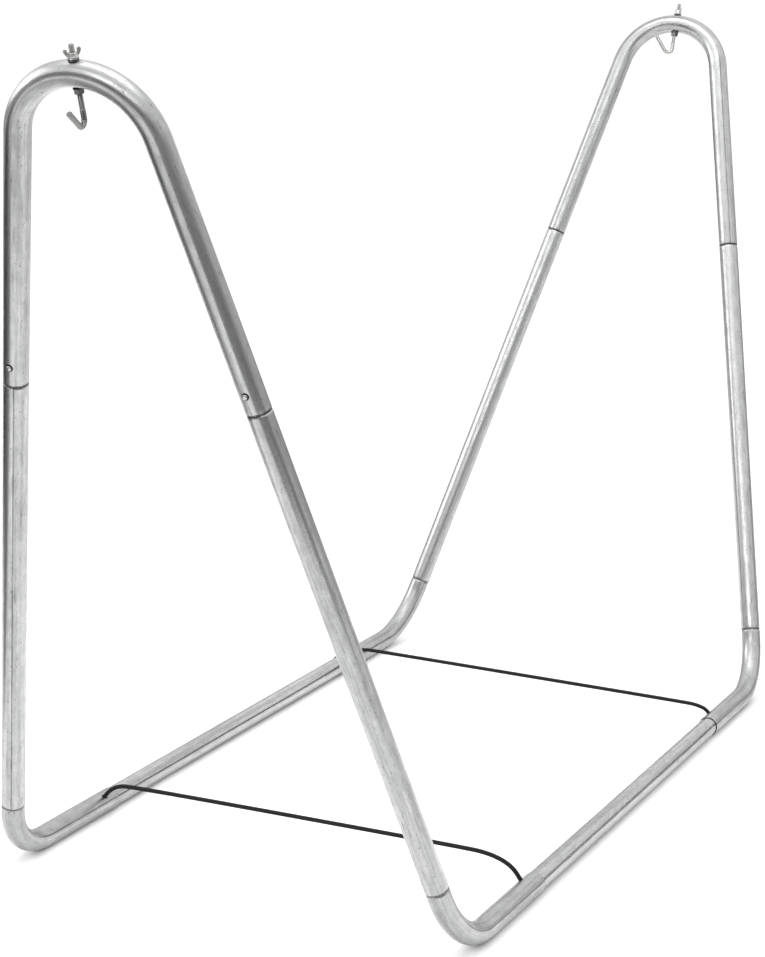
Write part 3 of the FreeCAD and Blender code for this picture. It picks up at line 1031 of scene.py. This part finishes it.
def wing_nut(end):
    """Cast wing nut: a tapered hub and two wings, melted together and smoothed as a casting is."""
    seat = on_screw(end, UPPER_SEAT - WASHER_THICKNESS - 0.00005)
    rise = up(end)
    reach = Vector((0, 1, 0)) * math.cos(WING_TURN) + out(end) * math.sin(WING_TURN)
    square = reach.cross(rise)
    hub = [(0, 0), (0, 0.0075), (0.0006, 0.0079), (0.0028, 0.0079), (0.0052, 0.0068), (0.0084, 0.0062),
           (0.009, 0.0056), (0.009, 0)]
    nut = new_object(end + "_wing_nut_casting", lathe("hub", seat, rise, hub), CAST_ZINC, smooth=0)
    wide = WING_HALF_SPAN
    outline = [(0.0046, 0.0018), (0.0072, 0.0018), (0.0086, 0.0042), (wide - 0.0008, 0.0082),
               (wide, 0.0104), (wide, WING_TOP - 0.0022), (wide - 0.0008, WING_TOP - 0.0004),
               (wide - 0.0022, WING_TOP), (wide - 0.005, WING_TOP - 0.0012), (0.0066, WING_TOP - 0.0028),
               (0.0068, 0.0102), (0.0052, 0.0086)]
    half = WING_THICKNESS / 2
    wings = []
    for sign in (1, -1):
        shape = bmesh.new()
        near, far = ([shape.verts.new(seat + rise * z + reach * (sign * x) + square * offset)
                      for x, z in outline] for offset in (-half, half))
        shape.faces.new(near)
        shape.faces.new(far[::-1])
        skin(shape, [near, far])
        wings.append(add("wing", outward_mesh("wing", shape)))
    cut(nut, wings, "UNION")
    remesh = nut.modifiers.new("melt", "REMESH")
    remesh.mode = "VOXEL"
    remesh.voxel_size = 0.0003
    smooth = nut.modifiers.new("smooth", "SMOOTH")
    smooth.factor = 0.5
    smooth.iterations = 6
    thin = nut.modifiers.new("thin", "DECIMATE")
    thin.ratio = 0.35
    apply_modifiers(nut)
    bore_r = SCREW_R + 0.00008
    cut(nut, [cutter_bar(seat - rise * 0.002, seat + rise * 0.022, bore_r)])
    shade(nut.data, math.radians(50))
    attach(nut, end + "_wing_nut")
    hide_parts(end + "_wing_nut")


def finish_cad_nodes():
    """Materials for the CAD nodes that show as they are."""
    kept = {"hex_nut": DARK_ZINC_AND_SHADE, "spring_clip": SPRING, "cord_stop": CRIMP}
    for name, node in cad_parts.items():
        for ending, material in kept.items():
            if name.endswith(ending):
                for place in node.material_slots:
                    place.material = material


for end_name in ENDS:
    arch(end_name)
    screw_and_hook(end_name)
    stamped_washer(end_name, "upper_washer", UPPER_SEAT - WASHER_THICKNESS, end_name + "_frame")
    stamped_washer(end_name, "lower_washer", LOWER_SEAT, end_name + "_lock_nut")
    wing_nut(end_name)
    for side_name in SIDES:
        leg(end_name, side_name)
        corner_bend(end_name, side_name)
        button(end_name, side_name)
for side_name in SIDES:
    rail(side_name)
finish_cad_nodes()


# ---------------------------------------------------------------- floor and light

def sheet(name, corners, material):
    """One flat face, which stays out of the part."""
    mesh = bpy.data.meshes.new(name)
    mesh.from_pydata(corners, [], [(0, 1, 2, 3)])
    mesh.materials.append(material)
    thing = add(name, mesh)
    return thing


def level_corners(low, high, z):
    return [(low[0], low[1], z), (high[0], low[1], z), (high[0], high[1], z), (low[0], high[1], z)]


def floor():
    half = 200.0
    sheet("floor", level_corners((-half, -half), (half, half), 0), pale_floor("pale_floor"))


def dark_card(name, corners, brightness):
    """Flat dark card that only shows in the metal's reflections, as a photographer's black flag does."""
    thing = sheet(name, corners, felt(name + "_felt", brightness))
    thing.visible_camera = False
    thing.visible_diffuse = False
    thing.visible_shadow = False
    thing.visible_transmission = False


def upright(name, start, finish, height, brightness):
    foot = 0.001
    dark_card(name, [(*start, foot), (*finish, foot), (*finish, height), (*start, height)], brightness)


def around(radius, height, sides, brightness):
    """Low dark wall all round, which the metal reflects as the horizon."""
    posts = []
    for k in range(sides + 1):
        angle = 2 * math.pi * k / sides
        posts.append((radius * math.cos(angle), radius * math.sin(angle)))
    for k in range(sides):
        upright(f"horizon_{k}", posts[k], posts[k + 1], height, brightness)


def flat(name, low, high, brightness):
    dark_card(name, level_corners(low, high, 0.002), brightness)


def area_light(name, place, target, size, power):
    data = bpy.data.lights.new(name, "AREA")
    data.shape = "RECTANGLE"
    data.size, data.size_y = size
    data.energy = power
    lamp = add(name, data)
    lamp.location = place
    lamp.rotation_euler = (Vector(target) - Vector(place)).to_track_quat("-Z", "Y").to_euler()


def studio():
    """White sky, a little darker at the horizon, with three soft lights and the dark cards."""
    world = bpy.data.worlds.new("studio")
    bpy.context.scene.world = world
    world.use_nodes = True
    tree = world.node_tree
    background = tree.nodes["Background"]
    direction = tree.nodes.new("ShaderNodeTexCoord").outputs["Generated"]
    split = tree.nodes.new("ShaderNodeSeparateXYZ")
    ramp = tree.nodes.new("ShaderNodeValToRGB")
    tree.links.new(direction, split.inputs["Vector"])
    tree.links.new(split.outputs["Z"], ramp.inputs["Fac"])
    tree.links.new(ramp.outputs["Color"], background.inputs["Color"])
    stops = ramp.color_ramp.elements
    stops[0].position, stops[0].color = 0.0, (HORIZON, HORIZON, HORIZON, 1)
    stops[1].position, stops[1].color = 1.0, (1, 1, 1, 1)
    background.inputs["Strength"].default_value = SKY
    area_light("overhead", (-0.5, 0.0, 4.2), (0, 0, 0.3), (4.0, 3.0), 60)
    area_light("left_window", (-1.5, 4.5, 2.6), (0, 0, 0.6), (3.0, 2.4), 60)
    area_light("front_softbox", (-5.6, -0.6, 3.4), (0.4, 0, 0.7), (5.0, 1.3), 55)
    upright("card_behind_camera", (-5.2, -6.0), (-5.2, 6.0), 2.3, 0.04)
    upright("card_left", (-2.4, 1.7), (-0.5, 1.7), 0.9, 0.02)
    upright("card_right", (-0.9, -1.7), (-2.4, -1.7), 0.9, 0.12)
    around(9.0, 1.3, 12, 0.12)
    flat("card_on_floor_right", (-4.6, -3.0), (-1.8, -0.5), 0.15)
    flat("card_on_floor_left", (-2.6, 0.8), (-0.9, 1.7), 0.12)
    bpy.context.scene.view_settings.view_transform = "Standard"


floor()
studio()
